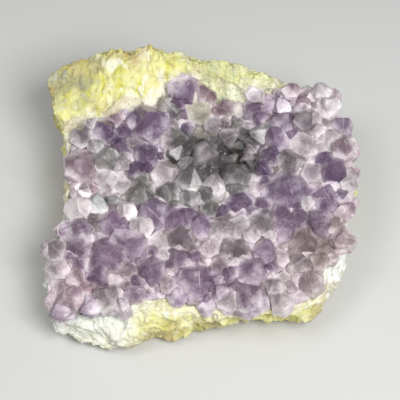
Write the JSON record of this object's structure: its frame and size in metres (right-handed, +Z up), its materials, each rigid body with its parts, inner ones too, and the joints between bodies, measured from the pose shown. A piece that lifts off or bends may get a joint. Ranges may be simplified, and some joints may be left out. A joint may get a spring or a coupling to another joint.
{
  "type": "amethyst cluster",
  "caption": "Natural cluster of pale violet amethyst points grown as a crust with a smoky pit over a wedge of yellow-green and cream host rock, lying flat as a display specimen.",
  "frame": {"origin": "middle of the underside of the specimen's box, on the surface that it lies on", "axes": "+X to the specimen's right, +Y to its back, the high side of the crystal face, and +Z up"},
  "size_m": [0.1724, 0.1648, 0.0638],
  "materials": {
    "host_rock": "matt, crumbly and layered",
    "amethyst": "clear to milky quartz with bright flat faces"
  },
  "bodies": {
    "root": {"matrix_rock": "host_rock", "amethyst_crust": "amethyst"}
  },
  "joints": []
}
